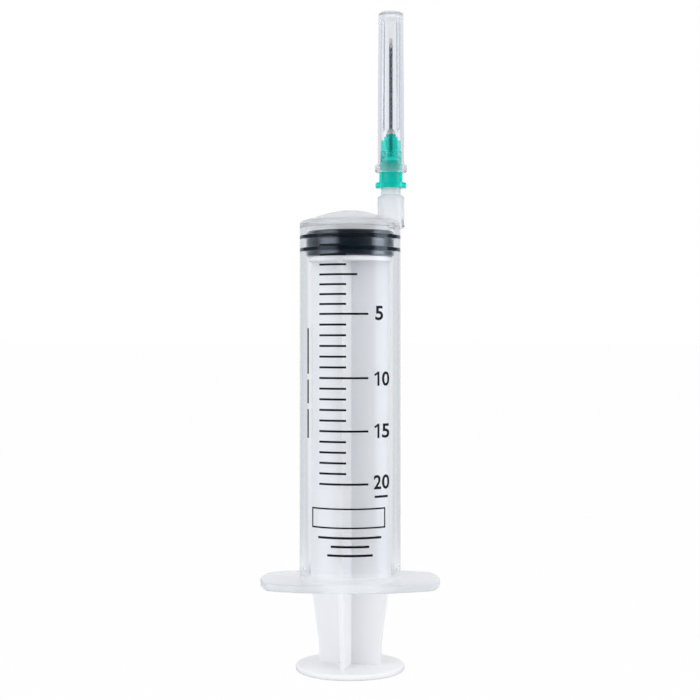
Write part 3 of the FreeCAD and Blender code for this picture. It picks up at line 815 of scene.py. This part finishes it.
@dataclass
class Barrel:
    """The clear barrel with its flange, dome and slip tip.

    Each round wall is its radius and the heights between which it is turned anew. These and the slacks
    are in millimetres, except cut_slack, which is in metres.
    """

    outside: Triple = (11.2, 20.55, 97.55)
    bore: Triple = (10.15, 21.25, 97.60)
    joint: float = 0.15
    facets: int = 192
    cut_slack: float = 1e-8
    wall_slack: float = 0.05
    corner_slack: float = 0.02
    upright_slope: float = 0.02
    finish: ClearMoulding = ClearMoulding("clear_barrel")

    def turn_anew(self, mesh: bmesh.types.BMesh, radius: float, low: float, high: float) -> None:
        """Change the long slivers of one round wall for even facets.

        Args:
            mesh: The barrel.
            radius: The wall's radius in metres.
            low: Where the new facets start, in metres.
            high: Where they end.
        """
        for height in (low, high):
            cut_level(mesh, (0, 0, height), (0, 0, 1), self.cut_slack)
        on_wall = set()
        for vertex in mesh.verts:
            reach = math.hypot(vertex.co.x, vertex.co.y)
            if abs(reach - radius) < self.wall_slack * MM and low - SLIVER < vertex.co.z < high + SLIVER:
                vertex.co.xy *= radius / reach
                on_wall.add(vertex)
        worn = [face for face in mesh.faces if on_wall.issuperset(face.verts)]
        bmesh.ops.delete(mesh, geom=worn, context="FACES")
        open_edges = [edge for edge in mesh.edges if edge.is_boundary]
        rims = [[edge for edge in open_edges if all(abs(v.co.z - height) < WELD for v in edge.verts)]
                for height in (low, high)]
        rings = []
        for height in (low + self.joint * MM, high - self.joint * MM):
            place = Matrix.Translation((0, 0, height))
            made = bmesh.ops.create_circle(mesh, segments=self.facets, radius=radius, matrix=place)
            circle = set(made["verts"])
            rings.append([edge for edge in mesh.edges if circle.issuperset(edge.verts)])
        for first, second in ((rims[0], rings[0]), (rings[0], rings[1]), (rings[1], rims[1])):
            bmesh.ops.bridge_loops(mesh, edges=first + second)

    def build(self) -> bpy.types.Object:
        """Dress a merged copy of the CAD node, its drum turned anew.

        Returns:
            The barrel.
        """
        mesh = cad_copy("barrel")
        for wall in (self.outside, self.bore):
            self.turn_anew(mesh, *(MM * size for size in wall))
        bmesh.ops.recalc_face_normals(mesh, faces=mesh.faces)
        smooth(mesh)
        fitting = Fitting("barrel_moulding", Body.BARREL, Slot.BARREL, "barrel", weighted=False)
        piece = fitting.mount(mesh, self.finish.build())
        self.square_normals(piece.data)
        return piece

    def square_normals(self, data: bpy.types.Mesh) -> None:
        """Point the normals of the round walls straight out from the axis, for even reflections.

        Args:
            data: The barrel's mesh.
        """
        normals = [Vector(corner.vector) for corner in data.corner_normals]
        for face in data.polygons:
            places = [data.vertices[index].co for index in face.vertices]
            reaches = [math.hypot(place.x, place.y) / MM for place in places]
            upright = abs(face.normal.z) < self.upright_slope
            for radius, _, _ in (self.outside, self.bore):
                if upright and all(abs(reach - radius) < self.corner_slack for reach in reaches):
                    side = 1 if face.normal.dot((places[0].x, places[0].y, 0)) > 0 else -1
                    for loop, place in zip(face.loop_indices, places):
                        normals[loop] = side * Vector((place.x, place.y, 0)).normalized()
        data.normals_split_custom_set(normals)


class Mark(Enum):
    """How far a graduation line runs."""

    SHORT = "short"
    MEDIUM = "medium"
    LONG = "long"


@dataclass(frozen=True)
class ScaleBlock:
    """Evenly spaced lines between two heights on the photograph, in its pixels from the top."""

    top: float
    bottom: float
    spaces: int
    number: str
    number_lift: float
    medium_line: int | None = None


@dataclass
class PrintedScale:
    """The ink on the barrel: graduation lines, their plain numbers, and bare bars in place of words.

    Lengths are in millimetres, angles in degrees round the barrel from its front, and rows in the
    photograph's pixels from its top. The artwork is flat and in millimetres until it is wrapped.
    """

    drum_radius: float = 11.212
    film: float = 0.02
    line_width: float = 0.45
    line_start: float = -36.3
    line_ends: tuple[tuple[Mark, float], ...] = ((Mark.SHORT, -4.4), (Mark.MEDIUM, 7.9), (Mark.LONG, 20.4))
    number_height: float = 3.1
    number_swell: float = 0.022
    number_facets: int = 6
    cells: tuple[Span, ...] = ((34.0, 2.07),)
    cell_pairs: tuple[Span, ...] = ((31.8, 1.9), (43.4, 2.2))
    one_stem: float = 0.52
    one_lean: float = 1.1
    one_flag: Span = (1.15, 0.42)
    one_drop: float = 0.42
    one_tilt: float = 33.0
    stroke: float = 0.35
    side_angle: float = -54.5
    side_rows: tuple[Span, ...] = ((328.0, 374.0), (380.0, 404.0), (410.0, 439.0))
    box_angles: Span = (-47.0, 42.6)
    box_rows: Span = (509.0, 528.0)
    bars: tuple[Triple, ...] = (
        (28.0, 46.5, 497.2),
        (-37.9, 36.8, 538.0),
        (-21.8, 21.5, 546.8),
        (-26.1, 25.7, 555.6),
    )
    bar_width: float = 0.50
    blocks: tuple[ScaleBlock, ...] = (
        ScaleBlock(234.6, 313.8, 8, "5", 0.2, 4),
        ScaleBlock(313.8, 378.1, 6, "10", -0.15),
        ScaleBlock(378.1, 431.4, 5, "15", 0.05),
        ScaleBlock(431.4, 484.4, 5, "20", 0.4),
    )
    strip_angle: float = 1.5
    cut_slack: float = 1e-5
    weld: float = 1e-4
    eye_level_pixel: float = 338.0
    eye_level: float = 73.4
    pixels_per_mm: float = 4.658
    finish: ScreenInk = ScreenInk("screen_ink")

    def height_of(self, pixel: float) -> float:
        """Height on the barrel's front, in millimetres, of a row of the photograph."""
        return self.eye_level + (self.eye_level_pixel - pixel) / self.pixels_per_mm

    def arc(self, angle: float) -> float:
        """Way round the barrel from its front, in millimetres, of an angle in degrees."""
        return math.radians(angle) * self.drum_radius

    def lines(self) -> Iterable[tuple[float, Mark]]:
        """Each graduation line's height in millimetres and its reach.

        Yields:
            Height and reach, from the top line down.
        """
        for index, block in enumerate(self.blocks):
            for step in range(0 if index == 0 else 1, block.spaces + 1):
                pixel = block.top + (block.bottom - block.top) * step / block.spaces
                mark = Mark.SHORT
                if step in (0, block.spaces):
                    mark = Mark.LONG
                elif step == block.medium_line:
                    mark = Mark.MEDIUM
                yield self.height_of(pixel), mark

    def add_patch(self, mesh: bmesh.types.BMesh, place: Matrix, width: float, height: float) -> None:
        """Add a rectangle to the flat artwork, its middle at a place."""
        size = Matrix.Diagonal((width, height, 1, 1))
        bmesh.ops.create_grid(mesh, x_segments=1, y_segments=1, size=0.5, matrix=place @ size)

    def add_bar(self, mesh: bmesh.types.BMesh, left: float, right: float, middle: float,
                width: float) -> None:
        """Add a level bar to the flat artwork, in millimetres of arc and height."""
        place = Matrix.Translation(((left + right) / 2, middle, 0))
        self.add_patch(mesh, place, right - left, width)

    def add_one(self, mesh: bmesh.types.BMesh, stem: float, middle: float) -> None:
        """Add the numeral one: its stem and its flag.

        Args:
            mesh: The artwork.
            stem: Arc of the stem's middle, in millimetres.
            middle: Height of the numeral's middle, in millimetres.
        """
        self.add_bar(mesh, stem - self.one_stem / 2, stem + self.one_stem / 2, middle, self.number_height)
        length, width = self.one_flag
        drop = length * self.one_drop
        turn = Matrix.Rotation(math.radians(self.one_tilt), 4, "Z")
        place = Matrix.Translation((stem - drop, middle + self.number_height / 2 - drop, 0))
        self.add_patch(mesh, place @ turn, length, width)

    def add_plain_bars(self, mesh: bmesh.types.BMesh) -> None:
        """Add the wordless print: upright bars at the side, an empty frame, and level bars by it.

        Args:
            mesh: The artwork.
        """
        side = self.arc(self.side_angle)
        half = self.bar_width / 2
        for top, bottom in self.side_rows:
            high, low = self.height_of(top), self.height_of(bottom)
            self.add_bar(mesh, side - half, side + half, (high + low) / 2, high - low)
        left, right = (self.arc(angle) for angle in self.box_angles)
        high, low = (self.height_of(row) for row in self.box_rows)
        for middle in (high, low):
            self.add_bar(mesh, left, right, middle, self.stroke)
        half = self.stroke / 2
        for edge in (left + half, right - half):
            self.add_bar(mesh, edge - half, edge + half, (high + low) / 2, high - low - self.stroke)
        for start, end, row in self.bars:
            self.add_bar(mesh, self.arc(start), self.arc(end), self.height_of(row), self.bar_width)

    def add_text(self, mesh: bmesh.types.BMesh, body: str, middle: Span, size: Span) -> None:
        """Add numerals to the flat artwork.

        Args:
            mesh: The artwork.
            body: The characters.
            middle: Their middle, in millimetres of arc and height.
            size: Their width and height in millimetres.
        """
        curve = bpy.data.curves.new(f"numeral_{body}", "FONT")
        curve.body = body
        curve.offset = self.number_swell
        curve.resolution_u = self.number_facets
        carrier = bpy.data.objects.new(curve.name, curve)
        bpy.context.scene.collection.objects.link(carrier)
        bpy.context.view_layer.update()
        data = bpy.data.meshes.new_from_object(carrier)
        bpy.data.objects.remove(carrier)
        known = len(mesh.verts)
        mesh.from_mesh(data)
        mesh.verts.ensure_lookup_table()
        added = mesh.verts[known:]
        low = Vector([min(v.co[i] for v in added) for i in range(3)])
        high = Vector([max(v.co[i] for v in added) for i in range(3)])
        bmesh.ops.translate(mesh, verts=added, vec=-(low + high) / 2)
        spread = (size[0] / (high.x - low.x), size[1] / (high.y - low.y), 1)
        bmesh.ops.scale(mesh, verts=added, vec=spread)
        bmesh.ops.translate(mesh, verts=added, vec=(*middle, 0))

    def wrap(self, mesh: bmesh.types.BMesh) -> None:
        """Cut the flat artwork into narrow strips, thicken it to a film and bend it round the barrel.

        Args:
            mesh: The artwork, in millimetres. It ends in metres.
        """
        ends = [v.co.x for v in mesh.verts]
        strip = self.arc(self.strip_angle)
        for index in range(math.ceil(min(ends) / strip), math.floor(max(ends) / strip) + 1):
            cut_level(mesh, (index * strip, 0, 0), (1, 0, 0), self.cut_slack)
        bmesh.ops.remove_doubles(mesh, verts=mesh.verts, dist=self.weld)
        raised = bmesh.ops.extrude_face_region(mesh, geom=mesh.faces[:])["geom"]
        top = [item for item in raised if isinstance(item, bmesh.types.BMVert)]
        bmesh.ops.translate(mesh, verts=top, vec=(0, 0, self.film))
        for vertex in mesh.verts:
            angle = vertex.co.x / self.drum_radius
            radius = self.drum_radius + vertex.co.z
            vertex.co = Vector((radius * math.sin(angle), -radius * math.cos(angle), vertex.co.y)) * MM
        bmesh.ops.recalc_face_normals(mesh, faces=mesh.faces)

    def build(self) -> bpy.types.Object:
        """Print the scale.

        Returns:
            The print.
        """
        mesh = bmesh.new()
        reach = dict(self.line_ends)
        for height, mark in self.lines():
            self.add_bar(mesh, self.arc(self.line_start), self.arc(reach[mark]), height, self.line_width)
        for block in self.blocks:
            cells = self.cells if len(block.number) == 1 else self.cell_pairs
            height = self.height_of(block.bottom) + block.number_lift
            for digit, (angle, width) in zip(block.number, cells):
                if digit == "1":
                    self.add_one(mesh, self.arc(angle + self.one_lean), height)
                else:
                    self.add_text(mesh, digit, (self.arc(angle), height), (width, self.number_height))
        self.add_plain_bars(mesh)
        self.wrap(mesh)
        fitting = Fitting("scale_print", Body.BARREL, Slot.BARREL, weighted=False)
        return fitting.mount(mesh, self.finish.build())


@dataclass
class Needle:
    """The hub, the cannula and the adhesive that holds it."""

    hub_finish: DyedMoulding = DyedMoulding("dyed_hub")
    steel: DrawnSteel = DrawnSteel("drawn_steel")
    adhesive: SetAdhesive = SetAdhesive("set_adhesive")

    def build(self) -> list[bpy.types.Object]:
        """Dress merged copies of the three CAD nodes.

        Returns:
            The three pieces.
        """
        fittings = [
            (Fitting("hub_moulding", Body.NEEDLE, Slot.HUB, "needle_hub"), self.hub_finish),
            (Fitting("cannula_tube", Body.NEEDLE, Slot.STEEL, "cannula"), self.steel),
            (Fitting("adhesive_collar", Body.NEEDLE, Slot.ADHESIVE, "adhesive_bead"), self.adhesive),
        ]
        pieces = []
        for fitting, finish in fittings:
            mesh = cad_copy(fitting.node)
            smooth(mesh)
            pieces.append(fitting.mount(mesh, finish.build()))
        return pieces


@dataclass
class NeedleCap:
    """The clear sheath over the needle. Sizes are in millimetres, and least_area is in square metres."""

    axis_x: float = 9.04
    mouth: float = 110.083
    mouth_radius: float = 2.625
    mouth_depth: float = 0.70
    seat_radius: float = 2.55
    seat_depth: float = 1.25
    bore_radius: float = 2.40
    bore_round: float = 0.12
    bore_segments: int = 3
    wall: float = 0.52
    draft: float = 0.15
    draft_start: float = 127.583
    inner_end: float = 144.183
    outer_end: float = 145.583
    end_round: float = 0.55
    end_segments: int = 8
    rim_radius: float = 3.54
    rim_height: float = 1.8
    rim_round: float = 0.4
    rim_segments: int = 5
    rib_foot: float = 119.283
    rib_turn: float = 45.0
    rib_depth: float = 0.3
    rib_facets: int = 3
    ribs: int = 4
    facets: int = 144
    slack: float = 0.01
    least_area: float = 1e-7
    finish: ClearMoulding = ClearMoulding(
        "clear_cap",
        tint=(0.935, 0.94, 0.957),
        roughness=0.05,
        matt_above=(142.5, 144.8),
        matt_below=(110.5, 112.5),
        matt=0.16,
        milk_above=0.18,
        milk_below=0.04,
        painted_shade_above=(144.0, 145.6),
        painted_shade_tint=(0.935, 0.94, 0.957),
    )

    def build(self) -> bpy.types.Object:
        """Turn the sheath and draw its ribs out of the bore.

        Returns:
            The cap.
        """
        outer = self.bore_radius + self.wall
        top = self.mouth + self.rim_height
        seat = self.mouth + self.mouth_depth
        shelf = seat + self.seat_depth
        mesh = lathe([
            (self.mouth_radius, self.mouth),
            (self.rim_radius, self.mouth),
            (self.rim_radius, top),
            (outer, top),
            (outer, self.draft_start),
            (outer - self.draft, self.outer_end),
            (0.0, self.outer_end),
            (0.0, self.inner_end),
            (self.bore_radius - self.draft, self.inner_end),
            (self.bore_radius, self.draft_start),
            (self.bore_radius, self.rib_foot),
            (self.bore_radius, shelf),
            (self.seat_radius, shelf),
            (self.seat_radius, seat),
            (self.mouth_radius, seat),
        ], self.facets)
        rim = [(self.rim_radius, self.mouth), (self.rim_radius, top)]
        round_rings(mesh, rim, self.rim_round, self.rim_segments)
        round_rings(mesh, [(outer - self.draft, self.outer_end)], self.end_round, self.end_segments)
        inner_rim = [(self.bore_radius - self.draft, self.inner_end)]
        round_rings(mesh, inner_rim, self.bore_round, self.bore_segments)
        self.draw_ribs(mesh)
        bmesh.ops.translate(mesh, verts=mesh.verts, vec=(self.axis_x * MM, 0, 0))
        smooth(mesh)
        fitting = Fitting("cap_sheath", Body.CAP, Slot.CAP, "needle_cap")
        return fitting.mount(mesh, self.finish.build())

    def draw_ribs(self, mesh: bmesh.types.BMesh) -> None:
        """Extrude the ribs inwards from the upper bore.

        Args:
            mesh: The sheath, about the Z axis.
        """
        half = math.pi * self.rib_facets / self.facets
        for index in range(self.ribs):
            middle = math.radians(self.rib_turn) + 2 * math.pi * index / self.ribs
            aim = Vector((math.cos(middle), math.sin(middle), 0))
            strip = []
            for face in mesh.faces:
                centre = face.calc_center_median()
                reach = math.hypot(centre.x, centre.y) / MM
                inside = self.bore_radius - self.draft - self.slack < reach < self.bore_radius + self.slack
                level = self.rib_foot < centre.z / MM < self.inner_end
                large = face.calc_area() > self.least_area
                if inside and level and large and centre.xy.normalized().dot(aim.xy) > math.cos(half):
                    strip.append(face)
            drawn = bmesh.ops.extrude_face_region(mesh, geom=strip)["geom"]
            bmesh.ops.delete(mesh, geom=strip, context="FACES")
            inner = [item for item in drawn if isinstance(item, bmesh.types.BMVert)]
            bmesh.ops.translate(mesh, verts=inner, vec=-self.rib_depth * MM * aim)
            foot = [vertex for vertex in inner if vertex.co.z / MM < self.rib_foot + self.slack]
            bmesh.ops.translate(mesh, verts=foot, vec=(0, 0, 2 * self.rib_depth * MM))
        bmesh.ops.recalc_face_normals(mesh, faces=mesh.faces)


@dataclass(frozen=True)
class Softbox:
    """A rectangular lamp that faces the object. Its lengths are in metres."""

    name: str
    azimuth: float
    height: float
    distance: float
    width: float
    tall: float
    radiance: float

    def place(self, target: Vector) -> None:
        """Set the lamp up at its azimuth, in degrees from the camera's side towards +X.

        Args:
            target: Where it aims.
        """
        lamp = bpy.data.lights.new(self.name, "AREA")
        lamp.shape = "RECTANGLE"
        lamp.size = self.width
        lamp.size_y = self.tall
        lamp.energy = self.radiance * math.pi * self.width * self.tall
        turn = math.radians(self.azimuth)
        place = Vector((self.distance * math.sin(turn), -self.distance * math.cos(turn), self.height))
        carrier = bpy.data.objects.new(self.name, lamp)
        carrier.location = place
        carrier.rotation_euler = (target - place).to_track_quat("-Z", "Y").to_euler()
        carrier.visible_camera = False
        carrier.visible_glossy = False
        carrier.visible_transmission = False
        bpy.context.scene.collection.objects.link(carrier)


@dataclass(frozen=True)
class Panel:
    """A soft-edged bright panel of the surroundings, for reflections: its azimuth and angles in degrees."""

    azimuth: float
    full_angle: float
    end_angle: float
    glow: Colour


@dataclass(frozen=True)
class Surroundings:
    """What stands round the object, as mirrored in it and as seen through its clear plastic.

    The stops run from the camera's side, at 0, to the far side, at 1.
    """

    tallness: float = 0.5
    mirrored: tuple[tuple[float, Colour], ...] = (
        (0.00, (0.012, 0.018, 0.026)),
        (0.20, (0.030, 0.040, 0.052)),
        (0.45, (0.05, 0.08, 0.12)),
        (0.80, (0.08, 0.12, 0.17)),
        (0.88, (0.54, 0.57, 0.62)),
        (0.965, (0.60, 0.63, 0.67)),
        (0.99, WHITE),
    )
    refracted: tuple[tuple[float, Colour], ...] = (
        (0.00, (0.10, 0.12, 0.15)),
        (0.25, (0.74, 0.77, 0.81)),
        (0.50, (0.92, 0.94, 0.97)),
        (0.85, (0.86, 0.89, 0.93)),
        (0.965, (0.66, 0.69, 0.73)),
        (0.99, WHITE),
    )
    steep: Span = (0.02, 0.20)
    behind: Span = (0.15, 0.65)
    skyline: Span = (0.10, 0.22)
    dim_ceiling: Colour = (0.012, 0.018, 0.026)
    ceiling: Colour = (0.97, 0.985, 1.0)
    panels: tuple[Panel, ...] = (
        Panel(-54.0, 4.0, 31.0, (1.12, 1.28, 1.50)),
        Panel(76.0, 2.0, 24.0, (2.00, 2.35, 2.75)),
    )
    wall_surfaces: float = 4.0
    most_reflections: float = 2.0

    def colour(self, bench: NodeBench, path: bpy.types.Node,
               way: bpy.types.NodeSocket) -> bpy.types.NodeSocket:
        """The colour in a direction.

        Args:
            bench: The bench of the world or the floor.
            path: Its Light Path node.
            way: The direction, which may have any length.

        Returns:
            The socket with the colour.
        """
        flat = bench.vector("MULTIPLY", way, (1.0, 1.0, self.tallness)).outputs[0]
        level_way = bench.vector("NORMALIZE", flat).outputs[0]
        level = bench.signal(bench.add("ShaderNodeSeparateXYZ", {}, {0: level_way}), "Y")
        depth = 0.5 + 0.5 * level
        unreflected = 1 - bench.signal(path, "Glossy Depth").lowest(1.0)
        seen_depth = 0.5 + 0.5 * level.highest(level * (1 - 2 * unreflected))
        parts = bench.add("ShaderNodeSeparateXYZ", {}, {0: bench.vector("NORMALIZE", way).outputs[0]})
        height = bench.signal(parts, "Z")
        rise = (height * height).ramped(*self.steep)
        ahead = 1 - bench.signal(parts, "Y").ramped(*self.behind)
        mirrored = bench.add("ShaderNodeValToRGB", {"stops": self.mirrored}, {0: depth}).outputs[0]
        mirrored = bench.blend(rise * ahead, mirrored, self.dim_ceiling)
        above = rise.highest(height.ramped(*self.skyline))
        mirrored = bench.blend(above * (1 - ahead), mirrored, self.ceiling)
        for panel in self.panels:
            turn = math.radians(panel.azimuth)
            facing = bench.vector("DOT_PRODUCT", level_way, (math.sin(turn), -math.cos(turn), 0.0))
            inner = math.cos(math.radians(panel.full_angle))
            outer = math.cos(math.radians(panel.end_angle))
            share = bench.signal(facing, "Value").ramped(outer, inner)
            mirrored = bench.blend(share, mirrored, panel.glow)
        refracted = bench.add("ShaderNodeValToRGB", {"stops": self.refracted}, {0: seen_depth}).outputs[0]
        refracted = bench.blend(rise, refracted, self.ceiling)
        return bench.blend(self.mirror_share(bench, path), refracted, mirrored)

    def mirror_share(self, bench: NodeBench, path: bpy.types.Node) -> Signal:
        """1 for one or two reflections, seen in the open or through one wall, and 0 for all else.

        Args:
            bench: The bench of the world or the floor.
            path: Its Light Path node.

        Returns:
            The share.
        """
        crossed = bench.signal(path, "Transmission Depth")
        other = crossed * (crossed - self.wall_surfaces)
        bounces = bench.signal(path, "Glossy Depth")
        few = bounces.lowest(1.0) * (1 - (bounces - self.most_reflections).highest(0.0).lowest(1.0))
        return (1 - (other * other).lowest(1.0)) * few


@dataclass
class Studio:
    """White floor and surroundings, two softboxes, and the camera at the photograph's place.

    The camera's eye is in millimetres, and the other lengths are in metres.
    """

    eye: Triple = (0.0, -327.8, 73.41)
    lens: float = 76.0
    shift_x: float = -0.0002
    shift_y: float = -12 / 700
    clip_start: float = 0.01
    floor_half: float = 20.0
    floor_grey: float = 0.85
    middle_height: float = 0.06
    glow_share: float = 0.96
    surroundings: Surroundings = Surroundings()
    fill: float = 0.78
    softboxes: tuple[Softbox, ...] = (
        Softbox("left_softbox", -50.0, 0.16, 0.60, 0.53, 0.90, 1.60),
        Softbox("right_softbox", 66.0, 0.16, 0.60, 0.46, 0.90, 1.75),
    )
    aim_height: float = 0.09

    def build(self) -> None:
        """Set up the studio."""
        self.add_floor()
        self.light_world()
        for softbox in self.softboxes:
            softbox.place(Vector((0, 0, self.aim_height)))
        self.add_camera()
        bpy.context.scene.view_settings.view_transform = "Standard"

    def add_floor(self) -> None:
        """A wide floor: white to the camera, with a shadow on it, and the surroundings to other rays."""
        material = bpy.data.materials.new("studio_floor")
        bench = NodeBench(material)
        path = bench.add("ShaderNodeLightPath")
        first = bench.signal(path, "Is Camera Ray")
        seen = first
        for ray in ("Is Glossy Ray", "Is Transmission Ray"):
            seen = seen.highest(bench.signal(path, ray))
        way = bench.vector("ADD", bench.object_point(), (0.0, 0.0, -self.middle_height)).outputs[0]
        shown = bench.blend(first, self.surroundings.colour(bench, path, way), WHITE)
        glow = bench.add("ShaderNodeEmission", {}, {"Color": shown, "Strength": 1.0}).outputs[0]
        grey = (self.floor_grey, self.floor_grey, self.floor_grey, 1.0)
        matt = bench.add("ShaderNodeBsdfDiffuse", {}, {"Color": grey}).outputs[0]
        bench.finish(bench.mix(seen * self.glow_share, matt, glow))
        mesh = bmesh.new()
        bmesh.ops.create_grid(mesh, x_segments=1, y_segments=1, size=self.floor_half)
        data = bpy.data.meshes.new("floor")
        mesh.to_mesh(data)
        mesh.free()
        data.materials.append(material)
        floor = bpy.data.objects.new("floor", data)
        bpy.context.scene.collection.objects.link(floor)

    def light_world(self) -> None:
        """White to the camera, the surroundings to mirrored and passed rays, an even fill to the rest."""
        world = bpy.data.worlds.new("studio")
        bench = NodeBench(world)
        path = bench.add("ShaderNodeLightPath")
        way = bench.add("ShaderNodeTexCoord").outputs["Generated"]
        around = self.surroundings.colour(bench, path, way)
        bounced = bench.signal(path, "Is Transmission Ray").highest(bench.signal(path, "Is Glossy Ray"))
        colour = bench.blend(bounced, (self.fill, self.fill, self.fill), around)
        colour = bench.blend(bench.signal(path, "Is Camera Ray"), colour, WHITE)
        shader = bench.add("ShaderNodeBackground", {}, {"Color": colour, "Strength": 1.0})
        bench.finish(shader.outputs[0], "ShaderNodeOutputWorld")
        bpy.context.scene.world = world

    def add_camera(self) -> None:
        """The camera, level and square to the scale."""
        data = bpy.data.cameras.new("camera")
        data.lens = self.lens
        data.shift_x = self.shift_x
        data.shift_y = self.shift_y
        data.clip_start = self.clip_start
        camera = bpy.data.objects.new("camera", data)
        camera.location = Vector(self.eye) * MM
        camera.rotation_euler = Euler((math.radians(90), 0, 0))
        bpy.context.scene.collection.objects.link(camera)
        bpy.context.scene.camera = camera


def main() -> None:
    """Dress the syringe from the floor up, then set up the studio round it."""
    logging.basicConfig(level=logging.INFO, format="%(name)s: %(message)s")
    builders: list[Callable[[], object]] = [
        PlungerRod().build,
        Gasket().build,
        Barrel().build,
        PrintedScale().build,
        Needle().build,
        NeedleCap().build,
        Studio().build,
    ]
    for build in builders:
        build()


if __name__ == "__main__":
    main()
